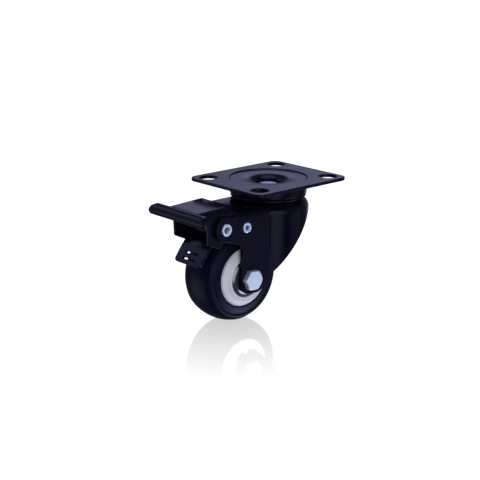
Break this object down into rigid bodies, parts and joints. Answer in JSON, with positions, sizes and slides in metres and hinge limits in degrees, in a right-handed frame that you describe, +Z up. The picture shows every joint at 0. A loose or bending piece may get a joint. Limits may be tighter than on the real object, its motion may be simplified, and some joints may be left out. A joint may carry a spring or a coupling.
{
  "type": "braked swivel castor",
  "caption": "Plate-mounted swivel castor with a crowned wheel in a drawn steel fork and a foot pedal that presses a slotted brake shoe towards the tread.",
  "frame": {"origin": "centre of the top plate's upper face, on the swivel axis", "axes": "+Z up out of the mounting face along the swivel axis, -X towards the pedal, Y along the wheel axle"},
  "size_m": [0.0955, 0.056, 0.072],
  "materials": {
    "black_paint": "glossy baked black enamel",
    "zinc_plate": "bright bluish zinc plating",
    "bare_steel": "oiled plain steel",
    "bright_chrome": "polished",
    "core_plastic": "smooth pale grey",
    "tread": "satin black",
    "nylon": "plain"
  },
  "bodies": {
    "plate": {"top_plate": "black_paint", "upper_race": "black_paint", "kingpin": "zinc_plate", "race_washer": "zinc_plate"},
    "fork": {"fork": "black_paint", "lower_race": "black_paint", "load_balls": "bare_steel", "guide_balls": "bare_steel", "pivot_rivet": "zinc_plate", "pivot_sleeve": "bare_steel", "anchor_rivet": "zinc_plate", "anchor_sleeve": "bare_steel", "pedal_spring": "bare_steel", "axle_bolt": "zinc_plate", "axle_nut": "zinc_plate", "nut_insert": "nylon", "axle_sleeve": "bare_steel"},
    "wheel": {"wheel_core": "core_plastic", "tyre": "tread", "hub_cap_near": "bright_chrome", "hub_cap_far": "bright_chrome"},
    "pedal": {"brake_pedal": "black_paint"},
    "shoe": {"brake_shoe": "black_paint"}
  },
  "joints": [
    {"name": "swivel", "type": "hinge", "parent": "plate", "child": "fork", "pos_m": [0, 0, 0], "axis": [0, 0, 1], "continuous": true},
    {"name": "wheel_spin", "type": "hinge", "parent": "fork", "child": "wheel", "pos_m": [-0.027, 0, -0.047], "axis": [0, 1, 0], "continuous": true},
    {"name": "pedal_press", "type": "hinge", "parent": "fork", "child": "pedal", "pos_m": [-0.0434, 0, -0.0179], "axis": [0, -1, 0], "range_deg": [0, 13], "stiffness_Nm_per_rad": 0.5},
    {"name": "shoe_swing", "type": "hinge", "parent": "fork", "child": "shoe", "pos_m": [-0.02979, 0, -0.01909], "axis": [0, -1, 0], "range_deg": [0, 7.6]}
  ],
  "couplings": [
    {"joint": "shoe_swing", "follows": "pedal_press", "ratio": 0.58}
  ]
}
